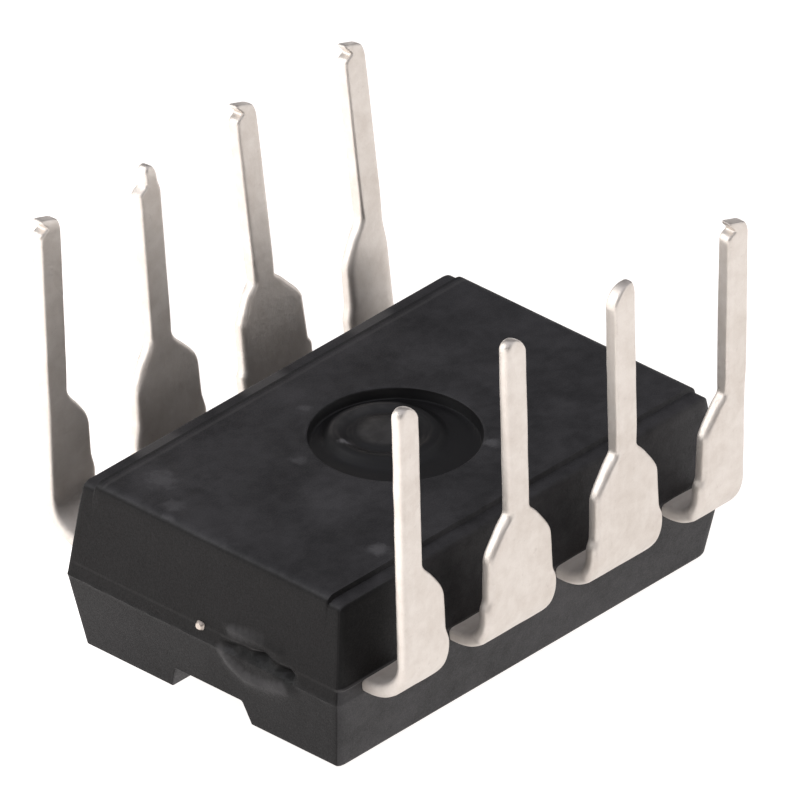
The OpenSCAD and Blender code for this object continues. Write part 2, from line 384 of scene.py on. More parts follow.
def gateLightAndShadeMasks(tree, at):
    # painted light on the lips and painted shade in the pits of the broken gate, placed by y and z alone
    onEnd = mapRange(tree, at["X"], -4.2, -4.35)
    place = joinXYZ(tree, y=at["Y"], z=at["Z"])
    broken, pitShade = 0.0, 0.0
    for y, z, size, strength in gateLightPlaces():
        spot = useGroup(tree, raggedSpotGroup, Position=place, Place=(0, y, z), Size=size, Raggedness=0.12)
        broken = larger(tree, times(tree, spot.outputs["Mask"], strength), broken)
    for y, z, size in pitShadePlaces():
        spot = useGroup(tree, raggedSpotGroup, Position=place, Place=(0, y, z), Size=size, Raggedness=0.15)
        pitShade = larger(tree, spot.outputs["Mask"], pitShade)
    return times(tree, broken, onEnd), times(tree, pitShade, onEnd)


def ledgeLightMask(tree, at):
    # painted light: the ledge along pins 1 to 4 is made paler between the leads
    wave = mathNode(tree, "COSINE", times(tree, plus(tree, at["X"], 0.2), 2 * math.pi / pitch))
    mask = times(tree, mapRange(tree, at["Y"], 2.5, 2.6), mapRange(tree, wave, 0.1, 0.8))
    return times(tree, mask, mapRange(tree, at["Z"], bodyHeight - 0.2, bodyHeight - 0.12))


def markMask(tree, at, flat):
    # the sunk floor of the ejector mark
    radius = ejectorShape["radius"]
    mask = mapRange(tree, measured(tree, "LENGTH", flat), radius + 0.03, radius - 0.01)
    mask = times(tree, mask, mapRange(tree, at["Z"], bodyHeight - 0.01, bodyHeight - 0.05))
    return times(tree, mask, mapRange(tree, at["Z"], 2.6, 2.7))


def raisedMasks(tree, at, flat, blotch):
    # what stands up in the ejector mark, and the painted light on it: the ring's far side and the boss are
    # made paler
    gap = measured(tree, "DISTANCE", flat, (*ejectorShape["ringAt"], 0))
    raised = mapRange(tree, at["Z"], bodyHeight - 0.16, bodyHeight - 0.09)
    raised = times(tree, raised, mapRange(tree, gap, 1.0, 0.9))
    farSideLight = mapRange(tree, measured(tree, "DOT_PRODUCT", flat, (0.1, 1.0, 0)), 0.55, 1.0, 0.0, 0.3)
    boss = mapRange(tree, gap, 0.52, 0.34, 0.0, 0.42)
    tone = times(tree, raised, larger(tree, farSideLight, boss))
    return raised, times(tree, tone, mapRange(tree, blotch, 0.0, 1.0, 0.6, 1.1))


def makeMouldMaterial():
    look = mouldLook
    material, tree, shader = newMaterial("mouldCompound", Specular_IOR_Level=look["gloss"])
    place = millimetrePosition(tree)
    grain = useGroup(tree, grainGroup, Position=place, Grain_Scale=14.0, Blotch_Scale=0.9)
    small = useGroup(tree, grainGroup, Position=place, Grain_Scale=40.0, Blotch_Scale=4.5)
    streak = useGroup(tree, streakGroup, Position=place, Stretch=(1.2, 6.0, 6.0))
    at = splitXYZ(tree, place)
    facing = splitXYZ(tree, tree.nodes.new("ShaderNodeTexCoord").outputs["Normal"])
    flat = joinXYZ(tree, x=at["X"], y=at["Y"])
    onTop = mapRange(tree, at["Z"], bodyHeight - 0.06, bodyHeight - 0.02)
    paintedShade, endShade = wallShadeMasks(tree, at, facing)
    broken, pitShade = gateLightAndShadeMasks(tree, at)
    inMark = markMask(tree, at, flat)
    raised, raisedLight = raisedMasks(tree, at, flat, small.outputs["Blotch"])

    colour = mixColour(tree, mixedTone(tree, grain, small, streak, 0.5), look["dark"], look["light"])
    # painted shade on the wall of pins 5 to 8 above the leads
    colour = mixColour(tree, times(tree, paintedShade, look["wallShadeAmount"]), colour, look["paintedShade"])
    # painted shade on the notch end, stronger above the parting line
    colour = mixColour(tree, times(tree, endShade, look["endShadeAmount"]), colour, look["endShadeColour"])
    # painted light on the gate's lip and above the break
    colour = mixColour(tree, broken, colour, look["broken"])
    # painted shade in the pits of the broken gate
    colour = mixColour(tree, times(tree, pitShade, look["pitShadeAmount"]), colour, look["paintedShade"])
    # painted light on the ledge between the leads
    colour = mixColour(tree, times(tree, ledgeLightMask(tree, at), look["ledgeLightAmount"]), colour, look["paintedLight"])
    # painted highlight and painted shade in lines along the ledge's edge
    for middle, wide, strength, tint in ledgeLightLines:
        line = mapRange(tree, distanceFrom(tree, at["Y"], middle), wide, 0.2 * wide)
        colour = mixColour(tree, times(tree, times(tree, line, onTop), strength), colour, look[tint])
    # painted highlight along the flash fin, mostly on the wall of pins 5 to 8
    line = mapRange(tree, distanceFrom(tree, at["Z"], bodyShape["flashHeight"]), 0.035, 0.01)
    line = times(tree, line, mapRange(tree, facing["Y"], 0.1, -0.3))
    colour = mixColour(tree, times(tree, line, look["flashHighlightAmount"]), colour, look["paintedLight"])
    # painted shade on the sunk floor of the ejector mark
    colour = mixColour(tree, inMark, colour, look["markFloorShade"])
    # painted light on the ring's far side and on the boss in the ejector mark
    colour = mixColour(tree, raisedLight, colour, look["paintedLight"])
    onFace = larger(tree, onTop, raised)
    # rubbed spots, with one painted glint on the ejector ring
    colour = mixColour(tree, times(tree, rubbedAndGlintMask(tree, place), onFace), colour, look["rubbedAndGlint"])
    tree.links.new(colour, shader.inputs["Base Color"])

    # less specular where shade is painted, to darken those places further
    paintedShadeDulling = larger(tree, larger(tree, paintedShade, endShade), times(tree, inMark, 0.5))
    gloss = mathNode(tree, "SUBTRACT", look["gloss"], times(tree, paintedShadeDulling, look["glossLoss"]))
    tree.links.new(gloss, shader.inputs["Specular IOR Level"])
    rough = mapRange(tree, small.outputs["Grain"], 0.3, 0.7, look["roughLow"], look["roughHigh"])
    keep = mathNode(tree, "SUBTRACT", 1.0, inMark)
    rough = plus(tree, times(tree, rough, keep), times(tree, inMark, look["floorRough"]))
    tree.links.new(rough, shader.inputs["Roughness"])
    height = plus(tree, grain.outputs["Grain"], times(tree, small.outputs["Grain"], 0.5))
    height = times(tree, height, plus(tree, times(tree, keep, 0.8), 0.2))
    bumpInto(tree, shader, height, 0.35, 0.012)
    return material


tinLook = {"bright": (0.80, 0.75, 0.70), "dull": (0.66, 0.6, 0.545), "stain": (0.5, 0.44, 0.4),
           "roughLow": 0.39, "roughHigh": 0.53, "metal": 0.86, "stripDull": 0.35, "stripRough": 0.12}


def makeTinMaterial():
    look = tinLook
    material, tree, shader = newMaterial("tinnedLead", Metallic=look["metal"])
    place = millimetrePosition(tree)
    grain = useGroup(tree, grainGroup, Position=place, Grain_Scale=9.0, Blotch_Scale=1.6)
    small = useGroup(tree, grainGroup, Position=place, Grain_Scale=30.0, Blotch_Scale=5.0)
    streak = useGroup(tree, streakGroup, Position=place, Stretch=(9.0, 9.0, 0.7))
    colour = mixColour(tree, mixedTone(tree, grain, small, streak, 0.4), look["bright"], look["dull"])
    stain = times(tree, mapRange(tree, grain.outputs["Grain"], 0.62, 0.8), 0.3)
    tree.links.new(mixColour(tree, stain, colour, look["stain"]), shader.inputs["Base Color"])
    rough = mapRange(tree, small.outputs["Grain"], 0.3, 0.7, look["roughLow"], look["roughHigh"])
    # duller plating from the wall to the bend
    strip = mapRange(tree, splitXYZ(tree, place)["Z"], 2.05, 1.7)
    tree.links.new(plus(tree, rough, times(tree, strip, look["stripRough"])), shader.inputs["Roughness"])
    metal = mathNode(tree, "SUBTRACT", look["metal"], times(tree, strip, look["stripDull"]))
    tree.links.new(metal, shader.inputs["Metallic"])
    height = plus(tree, grain.outputs["Grain"], times(tree, streak.outputs["Streak"], 0.6))
    bumpInto(tree, shader, height, 0.2, 0.012)
    return material


def makePlainMetal(name, bright, dull, roughLow, roughHigh, metallic=1.0, grainScale=12.0, relief=0.01):
    material, tree, shader = newMaterial(name, Metallic=metallic)
    place = millimetrePosition(tree)
    grain = useGroup(tree, grainGroup, Position=place, Grain_Scale=grainScale, Blotch_Scale=2.0)
    tree.links.new(mixColour(tree, grain.outputs["Blotch"], bright, dull), shader.inputs["Base Color"])
    rough = mapRange(tree, grain.outputs["Grain"], 0.3, 0.7, roughLow, roughHigh)
    tree.links.new(rough, shader.inputs["Roughness"])
    bumpInto(tree, shader, grain.outputs["Grain"], 0.3, relief)
    return material


mouldMaterial = makeMouldMaterial()
tinMaterial = makeTinMaterial()
frameMaterial = makePlainMetal("leadFrame", (0.56, 0.5, 0.45), (0.42, 0.35, 0.3), 0.32, 0.46)
glueMaterial = makePlainMetal("dieGlue", (0.5, 0.5, 0.5), (0.38, 0.38, 0.39), 0.5, 0.7, 0.35, 25.0, 0.02)
goldMaterial = makePlainMetal("bondWire", (0.95, 0.7, 0.3), (0.86, 0.6, 0.22), 0.18, 0.28, 1.0, 40.0, 0.003)


def makeSiliconMaterial():
    material, tree, shader = newMaterial("silicon", Roughness=0.16, Specular_IOR_Level=0.9)
    place = millimetrePosition(tree)
    cells = addNode(tree, "ShaderNodeTexVoronoi", distance="CHEBYCHEV", Scale=7.0, Randomness=0.55)
    tree.links.new(place, cells.inputs["Vector"])
    blocks = addNode(tree, "ShaderNodeSeparateColor")
    tree.links.new(cells.outputs["Color"], blocks.inputs[0])
    grain = useGroup(tree, grainGroup, Position=place, Grain_Scale=30.0, Blotch_Scale=3.0)
    tone = plus(tree, times(tree, blocks.outputs[0], 0.7), times(tree, grain.outputs["Blotch"], 0.3), True)
    tree.links.new(mixColour(tree, tone, (0.07, 0.085, 0.13), (0.2, 0.19, 0.24)), shader.inputs["Base Color"])
    return material


siliconMaterial = makeSiliconMaterial()
print("materials made")


def halfAt(z, half, markedInset, underInset):
    middle = bodyShape["markedHeight"]
    if z < middle:
        return half - markedInset * (1 - z / middle)
    return half - underInset * (z - middle) / (bodyHeight - middle)


def wallX(z):
    return halfAt(z, halfLength, bodyShape["markedInset"], bodyShape["underEndInset"])


def wallY(z):
    return halfAt(z, halfWidth, bodyShape["markedInset"], bodyShape["underSideInset"])


ledgeEdge = wallY(bodyHeight) - bodyShape["stepWidth"]


def topHeight(y):
    return bodyHeight - bodyShape["stepDepth"] * ease(abs(y), ledgeEdge - 0.012, ledgeEdge + 0.022)


def gateRelief(y, z):
    # how far the broken gate goes in (+) or stands out (-) at a point of the end wall
    g = gateScar
    inside = ease(y, -2.16, -1.85) * ease(y, -0.28, -0.62)
    ragged = roughness((0, y, z), 0.3, 4.0)
    lip = fromTable(y, lipLine) + 0.04 * ragged
    groove = fromTable(y, grooveLine) + 0.03 * ragged
    relief = -g["lipOut"] * inside * bump(z, lip, 0.16) * (1 + 0.4 * ragged)
    between = bump(z, groove, 0.09)
    relief += g["grooveDepth"] * inside * between
    relief += g["pitDepth"] * bump(y, -1.3, 0.16) * bump(z, 1.57, 0.11)
    relief += g["pitDepth"] * bump(y, -1.87, 0.14) * bump(z, 1.5, 0.1)
    relief -= g["upperOut"] * ease(y, -1.85, -1.6) * ease(y, -0.4, -0.6) * bump(z, 1.84 + 0.04 * ragged, 0.07)
    relief += g["fracture"] * roughness((0, y, z), 0.14, 9.0) * inside * between
    return relief


def mouldPoint(nx, ny, nz):
    # nx, ny, nz lie on a plain box; the result lies on the drafted, rounded body
    gaps = [halfLength - abs(nx), halfWidth - abs(ny), min(nz, bodyHeight - nz)]
    radii = [bodyShape["endRound"], bodyShape["sideRound"],
             bodyShape["topRound"] if nz > bodyHeight / 2 else bodyShape["markedRound"]]
    excess = [max(0.0, 1 - g / r) for g, r in zip(gaps, radii)]
    size = math.sqrt(sum(e * e for e in excess))
    peak = max(excess)
    if size > 0:
        gaps = [r * (1 - e / size * peak) if e > 0 else g for g, r, e in zip(gaps, radii, excess)]
    z = gaps[2] if nz < bodyHeight / 2 else bodyHeight - gaps[2]
    x = math.copysign((halfLength - gaps[0]) * wallX(z) / halfLength, nx)
    y = math.copysign((halfWidth - gaps[1]) * wallY(z) / halfWidth, ny)
    low = bodyShape["stepFrom"]
    if z > low:
        z = low + (z - low) * (topHeight(y) - low) / (bodyHeight - low)
    onSide = ease(abs(y) - wallY(z), -0.03, -0.005)
    onEnd = ease(abs(x) - wallX(z), -0.03, -0.005)
    fin = bodyShape["flashOut"] * (0.75 + 0.8 * roughness((x, 0, 0), 0.4, 2.0))
    y += math.copysign(onSide * fin * bump(z, bodyShape["flashHeight"], 0.022), y)
    fin = bodyShape["partingOut"] * (0.6 + roughness((0, y, 0), 0.25, 6.0))
    x += math.copysign(onEnd * fin * bump(z, bodyShape["markedHeight"], 0.03), x)
    if x < 0:
        x += onEnd * gateRelief(y, z)
    wave = bodyShape["waviness"]
    return Vector((x + onEnd * wave * roughness((x, y, z), 0.7, 1.0),
                   y + onSide * wave * roughness((x, y, z), 0.7, 3.0),
                   max(0.0, z + wave * (roughness((x, y, z), 0.9, 5.0) - 0.4) * (1 - onSide) * (1 - onEnd)
                       if z > 1 else z)))


def edgeLines(radius):
    return [radius * (1 - math.tan(math.radians(a))) for a in (45, 34, 23, 11)]


def bodyLines():
    b = bodyShape
    nearX = [-halfLength + d for d in edgeLines(b["endRound"])]
    xs = nearX + spaced(-halfLength + b["endRound"], halfLength - b["endRound"], 0.1)
    xs += [halfLength - b["endRound"]] + [-v for v in reversed(nearX)]
    scale = halfWidth / wallY(bodyHeight)
    risers = [(ledgeEdge + d) * scale for d in (-0.03, -0.012, 0.0, 0.01, 0.022, 0.04)]
    nearY = [-halfWidth + d for d in edgeLines(b["sideRound"])]
    ys = nearY + spaced(-halfWidth + b["sideRound"], -risers[-1], 0.08)
    ys += [-r for r in reversed(risers)]
    ys += spaced(-risers[0] + 0.06, -2.2, 0.08) + spaced(-2.2, -0.1, 0.03)       # finest across the gate scar
    ys += spaced(-0.1, risers[0] - 0.06, 0.09)
    ys += risers + spaced(risers[-1] + 0.08, halfWidth - b["sideRound"], 0.08)
    ys += [halfWidth - b["sideRound"]] + [-v for v in reversed(nearY)]
    zs = edgeLines(b["markedRound"]) + spaced(b["markedRound"], 0.88, 0.08) + spaced(0.88, 1.4, 0.03)
    zs += spaced(1.4, 1.65, 0.02) + spaced(1.65, 1.73, 0.016) + spaced(1.73, 2.0, 0.03)
    zs += spaced(2.0, bodyHeight - b["topRound"], 0.1)
    zs += [bodyHeight - b["topRound"]] + [bodyHeight - d for d in reversed(edgeLines(b["topRound"]))]
    return xs, ys, zs


def makeBodyShell():
    xs, ys, zs = bodyLines()
    verts, faces = [], []

    def sheet(aLines, bLines, place, flip):
        start = len(verts)
        for a in aLines:
            for b in bLines:
                verts.append(mouldPoint(*place(a, b)))
        wide = len(bLines)
        for i in range(len(aLines) - 1):
            for j in range(wide - 1):
                k = start + i * wide + j
                quad = (k, k + wide, k + wide + 1, k + 1)
                faces.append(tuple(reversed(quad)) if flip else quad)

    sheet(xs, ys, lambda a, b: (a, b, bodyHeight), False)
    sheet(xs, ys, lambda a, b: (a, b, 0.0), True)
    sheet(xs, zs, lambda a, b: (a, -halfWidth, b), False)
    sheet(xs, zs, lambda a, b: (a, halfWidth, b), True)
    sheet(ys, zs, lambda a, b: (-halfLength, a, b), True)
    sheet(ys, zs, lambda a, b: (halfLength, a, b), False)
    return meshFrom("bodyShell", verts, faces)


notchShape = {"width": 1.78, "length": 0.9, "depth": 0.48, "inset": 0.17, "rim": 0.035, "ceilingRound": 0.05}


def notchCutter():
    n = notchShape
    rise = n["depth"]
    levels = [(-0.3, n["rim"]), (0.0, n["rim"]), (n["rim"] * 0.35, n["rim"] * 0.35), (n["rim"], 0.0)]
    levels += [(rise - n["ceilingRound"] * (1 - math.sin(a)), -n["ceilingRound"] * (1 - math.cos(a)))
               for a in (0.0, 0.5, 1.0, math.pi / 2)]
    verts, faces = [], []
    start = -wallX(0)
    for z, grow in levels:
        half = n["width"] / 2 - n["inset"] * max(0.0, z) / rise + grow
        inner = start + n["length"] + grow - 0.06 * max(0.0, z) / rise
        radius = n["width"] / 4
        wall = -wallX(max(0.0, z))
        outline = [(-6.0, half + n["rim"]), (wall - 0.02, half + n["rim"]), (wall, half + n["rim"]),
                   (wall + 0.3 * n["rim"], half + 0.3 * n["rim"]), (wall + n["rim"], half)]
        outline += [(inner - radius + radius * math.sin(a), half - radius + radius * math.cos(a))
                    for a in (k * math.pi / 24 for k in range(13))]
        ring = outline + [(x, -y) for x, y in reversed(outline)]
        verts += [Vector((x, y, z)) for x, y in ring]
    count = len(verts) // len(levels)
    for level in range(len(levels) - 1):
        for k in range(count):
            a, b = level * count + k, level * count + (k + 1) % count
            faces.append((a, b, b + count, a + count))
    faces.append(tuple(range(count)))
    faces.append(tuple(reversed(range(len(verts) - count, len(verts)))))
    return verts, faces


def ejectorCutter():
    e = ejectorShape
    floor = bodyHeight - e["depth"]
    outer, inner = e["ringRadius"], e["ringRadius"] - e["ringWidth"]
    high = floor + e["ringHeight"]
    boss, bossTop = e["bossRadius"], floor + e["bossHeight"]
    edge, rim = e["radius"], e["rim"]
    # radius, height and how far the circle's middle has moved to the ring's
    profile = [(edge + rim, bodyHeight + 0.3, 0), (edge + rim, bodyHeight, 0),
               (edge + 0.35 * rim, bodyHeight - 0.35 * rim, 0), (edge, bodyHeight - rim, 0),
               (edge - 0.02, floor + 0.03, 0), (edge - 0.03, floor + 0.009, 0), (edge - 0.05, floor, 0),
               (1.3, floor, 0.3), (1.18, floor, 0.7), (outer + 0.2, floor, 1),
               (outer + 0.13, floor + 0.015, 1), (outer + 0.04, high - 0.03, 1),
               (outer, high - 0.012, 1), (outer - 0.04, high, 1),
               (inner + 0.06, high, 1), (inner + 0.02, high - 0.015, 1), (inner - 0.03, high - 0.04, 1),
               (inner - 0.07, high - 0.055, 1), (boss + 0.02, bossTop - 0.03, 1),
               (boss - 0.03, bossTop - 0.008, 1), (boss - 0.08, bossTop, 1), (0.3, bossTop + 0.01, 1),
               (0.12, bossTop + 0.012, 1)]
    turns = 160
    verts, faces = [], []
    for radius, z, moved in profile:
        for k in range(turns):
            a = 2 * math.pi * k / turns
            point = Vector((radius * math.cos(a) + moved * e["ringAt"][0],
                            radius * math.sin(a) + moved * e["ringAt"][1], z))
            if z < bodyHeight - 0.05:
                point.z += 0.01 * roughness(point, 0.3, 7.0)
            verts.append(point)
    for ring in range(len(profile) - 1):
        for k in range(turns):
            a, b = ring * turns + k, ring * turns + (k + 1) % turns
            faces.append((a, b, b + turns, a + turns))
    faces.append(tuple(range(turns)))
    faces.append(tuple(reversed(range(len(verts) - turns, len(verts)))))
    return verts, faces


def cutWith(shell, cutters):
    target = bpy.data.objects.new("shell", shell)
    bpy.context.scene.collection.objects.link(target)
    helpers = []
    for index, (verts, faces) in enumerate(cutters):
        mesh = meshFrom(f"cutter{index}", verts, faces)
        work = bmesh.new()
        work.from_mesh(mesh)
        bmesh.ops.recalc_face_normals(work, faces=work.faces)
        work.to_mesh(mesh)
        work.free()
        helper = bpy.data.objects.new(f"cutter{index}", mesh)
        bpy.context.scene.collection.objects.link(helper)
        helpers.append(helper)
        cut = target.modifiers.new("cut", "BOOLEAN")
        cut.operation = "DIFFERENCE"
        cut.solver = "EXACT"
        cut.object = helper
    graph = bpy.context.evaluated_depsgraph_get()
    result = bpy.data.meshes.new_from_object(target.evaluated_get(graph))
    for obj in [target, *helpers]:
        bpy.data.objects.remove(obj)
    return result


shell = makeBodyShell()
weld = bmesh.new()
weld.from_mesh(shell)
bmesh.ops.remove_doubles(weld, verts=weld.verts, dist=1e-4)
bmesh.ops.recalc_face_normals(weld, faces=weld.faces)
print("body shell:", len(weld.faces), "faces, open edges:", sum(len(e.link_faces) != 2 for e in weld.edges))
weld.to_mesh(shell)
weld.free()
bodyMesh = cutWith(shell, [notchCutter(), ejectorCutter()])
bodyPiece = makeObject("mouldedBody", bodyMesh, mouldMaterial)
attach(bodyPiece, "root")
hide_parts("body")
print("moulded body:", len(bodyMesh.polygons), "faces")


def stripRing(row, flat=10, turn=4):
    # the leads and the die pad are strips: a rounded rectangle across one, in the row's own directions
    left, right, half, radius = row["left"], row["right"], row["half"], row["radius"]
    points = [(lerp(-left + radius, right - radius, k / flat), half) for k in range(flat + 1)]
    for corner in range(2):
        for k in range(turn + 1):
            if corner == 0 and k == 0:
                continue
            a = math.pi / 2 - (corner + k / turn) * math.pi / 2
            sideways = right - radius + radius * math.cos(a)
            points.append((sideways, (half - radius) * (1 if corner == 0 else -1) + radius * math.sin(a)))
    points += [(lerp(right - radius, -left + radius, k / flat), -half) for k in range(1, flat + 1)]
    for corner in range(2):
        for k in range(turn + 1):
            if (corner == 0 and k == 0) or (corner == 1 and k == turn):
                continue
            a = -math.pi / 2 - (corner + k / turn) * math.pi / 2
            sideways = -left + radius + radius * math.cos(a)
            points.append((sideways, (half - radius) * (-1 if corner == 0 else 1) + radius * math.sin(a)))
    return [row["centre"] + row["across"] * a + row["normal"] * n for a, n in points]


def stripMesh(name, rows, seed):
    verts, faces = [], []
    for row in rows:
        for point in stripRing(row):
            wobble = 0.006 * row["skin"] * roughness(point, 0.45, seed)
            verts.append(point + row["normal"] * wobble + row["across"] * wobble * 0.6)
    count = len(verts) // len(rows)
    for r in range(len(rows) - 1):
        for k in range(count):
            a, b = r * count + k, r * count + (k + 1) % count
            faces.append((a, b, b + count, a + count))
    faces.append(tuple(reversed(range(count))))
    faces.append(tuple(range(len(verts) - count, len(verts))))
    return meshFrom(name, verts, faces)


leadShape = {
    "thickness": 0.25, "stripWidth": 1.42, "shoulderWidth": 1.52, "tailWidth": 0.48, "nub": 0.07,
    "bendY": 3.135, "bendZ": 2.25, "innerRadius": 0.6, "shoulderZ": 3.92,
    "edgeRadius": 0.095, "tipEdge": 0.05,                            # rounding of the strip's edges
    # the lists below start with pin 1
    "splay": [2, 4.8, 7.5, 7.1, 1, -1, -1.2, -1.2],
    "tailShift": [0, -0.08, -0.08, -0.06, 0, 0, 0, 0],
    "softness": [0.13, 0.13, 0.03, 0.1, 0.06, 0.07, 0.07, 0.1],      # rounding of each shoulder outline
    "tip": ["hook", "step", "hook", "hook", "hook", "slant", "round", "round"],
    "outward": [0.1, 0, 0, 0, 0, 0, 0, 0],                           # how much further out a lead stands
    "tipMore": [0.02, 0.05, 0.06, 0.07, 0.0, -0.04, 0.01, -0.07],    # longer or shorter than the CAD's tail
}


def wideReach(z, soft):
    s = leadShape
    reachOut, tail = s["shoulderWidth"] / 2, s["tailWidth"] / 2
    top = s["shoulderZ"]
    table = [(1.4, s["stripWidth"] / 2), (1.66, s["stripWidth"] / 2), (1.8, reachOut + s["nub"]),
             (2.42, reachOut + s["nub"]), (2.5, reachOut), (top - 0.62, reachOut - 0.03),
             (top - 0.46, reachOut - 0.12), (top - 0.13, (reachOut + tail) / 2 - 0.11),
             (top, tail), (9.0, tail)]
    total = 0.0
    for k in range(-4, 5):
        total += fromTable(z + soft * k / 4, table)
    return total / 9


def fingerReach(pin, y):
    # how far the finger inside the body reaches left and right of the lead's middle
    column = pin - 1 if pin <= 4 else 8 - pin
    wide = leadShape["stripWidth"] / 2
    if column in (1, 2):
        return [fromTable(y, [(1.32, 0.3), (1.54, 0.3), (2.775, wide), (4.0, wide)])] * 2
    inward = fromTable(y, [(0.5, 2.19), (1.1, 2.19), (1.32, wide), (4.0, wide)])
    outward = fromTable(y, [(0.5, 0.0), (2.775, 0.24), (4.0, 0.24)])
    return [outward, inward] if column == 0 else [inward, outward]


def roundedOff(below, length):
    # a quarter circle, from 1 at the very end to 0 at this length below it
    return 1 - math.sqrt(max(0.0, 1 - (1 - min(1, below / length)) ** 2))


def tipTrim(style, below):
    # what the tip takes off the left, the right and the thickness, so far below its end
    dome = roundedOff(below, 0.22)
    if style == "round":
        return 0.2 * dome, 0.2 * dome, 0.05 * dome
    if style == "slant":
        return 0.34 * roundedOff(below, 0.36) ** 0.8, 0.03 * dome, 0.05 * dome
    if style == "step":
        left = 0.16 * ease(below, 0.46, 0.34) + 0.12 * dome
        return left, 0.06 * ease(below, 0.5, 0.2) + 0.1 * dome, 0.05 * dome
    return 0.15 * bump(below, 0.15, 0.085) + 0.05 * dome, 0.07 * dome, 0.04 * dome


def leadRows(pin):
    s = leadShape
    column = pin - 1 if pin <= 4 else 8 - pin
    side = 1 if pin <= 4 else -1
    middle = (column - 1.5) * pitch
    corner = column in (0, 3)
    tilt = math.radians(s["splay"][pin - 1])
    shift = s["tailShift"][pin - 1]
    soft = s["softness"][pin - 1]
    half = s["thickness"] / 2
    radius = s["innerRadius"] + half
    flatZ = s["bendZ"] - radius
    bendY = s["bendY"] + s["outward"][pin - 1]
    rows = []

    def addRow(y, z, outY, outZ, left, right, skin=1.0, thin=0.0, edge=None, fall=0.0):
        normal = Vector((0, side * outY, outZ))
        edgeRadius = min(edge or s["edgeRadius"], 0.9 * (half - thin), 0.45 * max(0.02, left + right))
        rows.append({"centre": Vector((middle, side * y, z)), "across": Vector((1, 0, -fall)),
                     "normal": normal, "left": left, "right": right, "half": half - thin,
                     "radius": edgeRadius, "skin": skin})

    start = 0.5 if corner else 1.32
    stops = [start, start + 0.03]
    if corner:
        stops += spaced(0.62, 1.09, 0.2) + [1.09, 1.11, 1.2, 1.31, 1.33]
    stops += spaced(1.54, 2.98, 0.18) + [2.98, 3.02, 3.06, 3.1]
    for y in stops:
        left, right = fingerReach(pin, y)
        buried = y < 2.9
        addRow(y, flatZ, 0.0, -1.0, left, right, 0.2 if buried else 0.6, 0.0, 0.03 if buried else None)
    turns = 30
    end = math.pi / 2 - tilt
    for k in range(turns + 1):
        a = end * k / turns
        y, z = bendY + radius * math.sin(a), s["bendZ"] - radius * math.cos(a)
        wide = wideReach(z, 0.05)
        left = wide if not (corner and column == 0) else s["tailWidth"] / 2
        right = wide if not (corner and column == 3) else s["tailWidth"] / 2
        addRow(y, z, math.sin(a), -math.cos(a), left, right)
    baseY, baseZ = rows[-1]["centre"].y * side, rows[-1]["centre"].z
    top = boxInMm(f"lead_{pin}")[1].z + s["tipMore"][pin - 1]
    heights = spaced(baseZ, 3.1, 0.05)[1:] + spaced(3.1, 4.1, 0.025) + spaced(4.1, top - 0.5, 0.12)
    heights += spaced(top - 0.5, top - 0.24, 0.04) + spaced(top - 0.24, top, 0.012) + [top]
    for z in heights:
        y = baseY + (z - baseZ) * math.tan(tilt)
        wide = wideReach(z, soft)
        tail = s["tailWidth"] / 2
        moved = shift * ease(z, s["shoulderZ"] - 0.6, s["shoulderZ"])
        left = (wide if not (corner and column == 0) else tail) - moved
        right = (wide if not (corner and column == 3) else tail) + moved
        style = s["tip"][pin - 1]
        biteLeft, biteRight, thin = tipTrim(style, top - z)
        left, right = left - biteLeft, right - biteRight
        slope = 0.0 if style == "slant" else 0.32 * ease(z, top - 0.6, top - 0.1)
        edge = s["edgeRadius"]
        if style != "round":
            edge = lerp(edge, s["tipEdge"], ease(z, 3.6, 4.4))
        addRow(y, z, math.cos(tilt), -math.sin(tilt), left, right, 1.0, thin, edge, slope)
    return rows


for pin in range(1, 9):
    mesh = stripMesh(f"lead{pin}", leadRows(pin), pin * 3.1)
    lead = makeObject(f"bentLead{pin}", mesh, tinMaterial, 40)
    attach(lead, "root")
    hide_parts(f"lead_{pin}")
print("leads made")


padShape = {"length": 2.8, "width": 2.2, "barWidth": 0.36, "thickness": 0.25, "padZ": 1.725, "barZ": 1.525,
            "slope": 0.2, "endOut": 0.02, "endAside": 0.05, "endUp": 0.11}


def padRows():
    p = padShape
    halfPad, halfBar, knee = p["width"] / 2, p["barWidth"] / 2, p["length"] / 2
    bend = knee + p["slope"]
    end = halfLength + p["endOut"]
    stops = [end - d for d in (0.0, 0.02, 0.06, 0.1, 0.14)] + spaced(end - 0.2, bend + 0.05, 0.3)
    stops += [bend + 0.02, bend - 0.02, knee + 0.03, knee + 0.005, knee - 0.005, knee - 0.05]
    places = [-x for x in stops] + spaced(-1.2, 1.2, 0.3) + [1.2] + list(reversed(stops))
    rows = []
    for x in places:
        z = lerp(p["padZ"], p["barZ"], ease(abs(x), knee, bend))
        reachOut = halfPad if abs(x) < knee else halfBar
        broken = ease(abs(x), end - 0.16, end - 0.06)            # the bar necks down where it was broken off
        cut = 0.03 * ease(abs(x), end - 0.04, end) + 0.045 * broken
        half = p["thickness"] / 2 - cut
        reachOut -= 0.05 * broken + cut
        rows.append({"centre": Vector((x, p["endAside"] * broken, z + p["endUp"] * broken)),
                     "across": Vector((0, 1, 0)), "normal": Vector((0, 0, 1)), "left": reachOut,
                     "right": reachOut, "half": half, "radius": min(0.05, 0.8 * half), "skin": 0.3})
    return rows


padPiece = makeObject("diePadStrip", stripMesh("diePad", padRows(), 40.0), frameMaterial, 40)
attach(padPiece, "root")
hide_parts("die_pad")

for name, material in [("die", siliconMaterial), ("die_attach", glueMaterial)] + \
        [(f"bond_wire_{pin}", goldMaterial) for pin in range(1, 9)]:
    nodes[name].data.materials.clear()
    nodes[name].data.materials.append(material)
print("die pad made, inner nodes finished")


